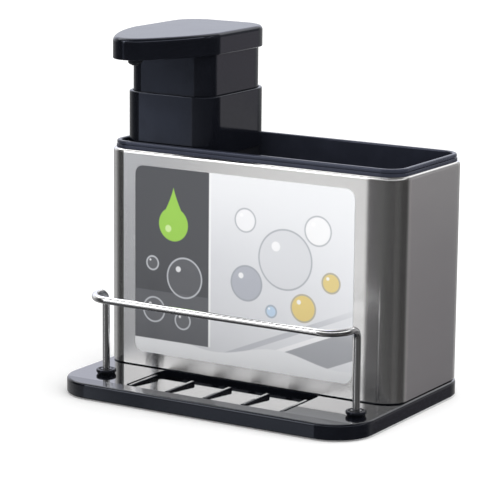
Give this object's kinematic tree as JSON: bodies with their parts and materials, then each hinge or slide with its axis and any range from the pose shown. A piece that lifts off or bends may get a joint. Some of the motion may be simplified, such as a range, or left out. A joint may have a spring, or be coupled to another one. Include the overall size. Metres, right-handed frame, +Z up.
{
  "type": "soap pump caddy",
  "caption": "Countertop caddy: steel sleeve on a ribbed tray with a wire rail, lift-out liner for brushes, and a liquid soap bottle with a press-down pump.",
  "frame": {"origin": "under the middle of the base, on the surface that the rubber feet stand on", "axes": "+X to the right along the width, +Y to the back, +Z up; the soap spout points towards -Y"},
  "size_m": [0.18, 0.128, 0.188],
  "materials": {
    "black_gloss": "glossy moulded black, slightly blue",
    "black_satin": "satin moulded black",
    "sleeve_steel": "bright, ground in fine level lines and polished",
    "fastener_steel": "plain zinc-bright",
    "rail_chrome": "polished",
    "black_rubber": "smooth moulded rubber",
    "card_print": null,
    "natural_plastic": "uncoloured, slightly translucent",
    "silicone": "clouded silicone",
    "spring_steel": "drawn stainless wire",
    "ball_glass": "clear polished ball"
  },
  "bodies": {
    "base": {"base_tray": "black_gloss", "rubber_feet": "black_rubber", "steel_sleeve": "sleeve_steel", "sleeve_screws": "fastener_steel", "wire_rail": "rail_chrome", "rail_grommets": "black_rubber", "rail_push_nuts": "fastener_steel", "label_card": "card_print"},
    "liner": {"inner_liner": "black_gloss"},
    "bottle": {"soap_bottle": "black_satin"},
    "pump_unit": {"pump_housing": "black_gloss", "mouth_gasket": "silicone", "pump_cylinder": "natural_plastic", "cylinder_washer": "silicone", "closure_nut": "black_satin", "dip_tube": "natural_plastic", "return_spring": "spring_steel"},
    "pump_head": {"pump_stem": "natural_plastic", "piston": "natural_plastic", "piston_seal": "silicone", "head_cap": "black_gloss", "head_skirt": "black_gloss", "spout_channel": "black_satin", "nozzle_tip": "black_rubber"},
    "inlet_valve": {"inlet_ball": "ball_glass"},
    "outlet_valve": {"outlet_ball": "ball_glass"}
  },
  "joints": [
    {"name": "liner_lift", "type": "slide", "parent": "base", "child": "liner", "axis": [0, 0, 1], "range_m": [0, 0.115]},
    {"name": "bottle_lift", "type": "slide", "parent": "liner", "child": "bottle", "axis": [0, 0, 1], "range_m": [0, 0.118]},
    {"name": "pump_lift", "type": "slide", "parent": "bottle", "child": "pump_unit", "axis": [0, 0, 1], "range_m": [0, 0.11]},
    {"name": "pump_press", "type": "slide", "parent": "pump_unit", "child": "pump_head", "axis": [0, 0, -1], "range_m": [0, 0.015], "stiffness_N_per_m": 350, "springref_m": -0.007, "deforming": ["return_spring"]},
    {"name": "inlet_ball_lift", "type": "slide", "parent": "pump_unit", "child": "inlet_valve", "axis": [0, 0, 1], "range_m": [0, 0.0015]},
    {"name": "outlet_ball_lift", "type": "slide", "parent": "pump_head", "child": "outlet_valve", "axis": [0, 0, 1], "range_m": [0, 0.0012]}
  ]
}
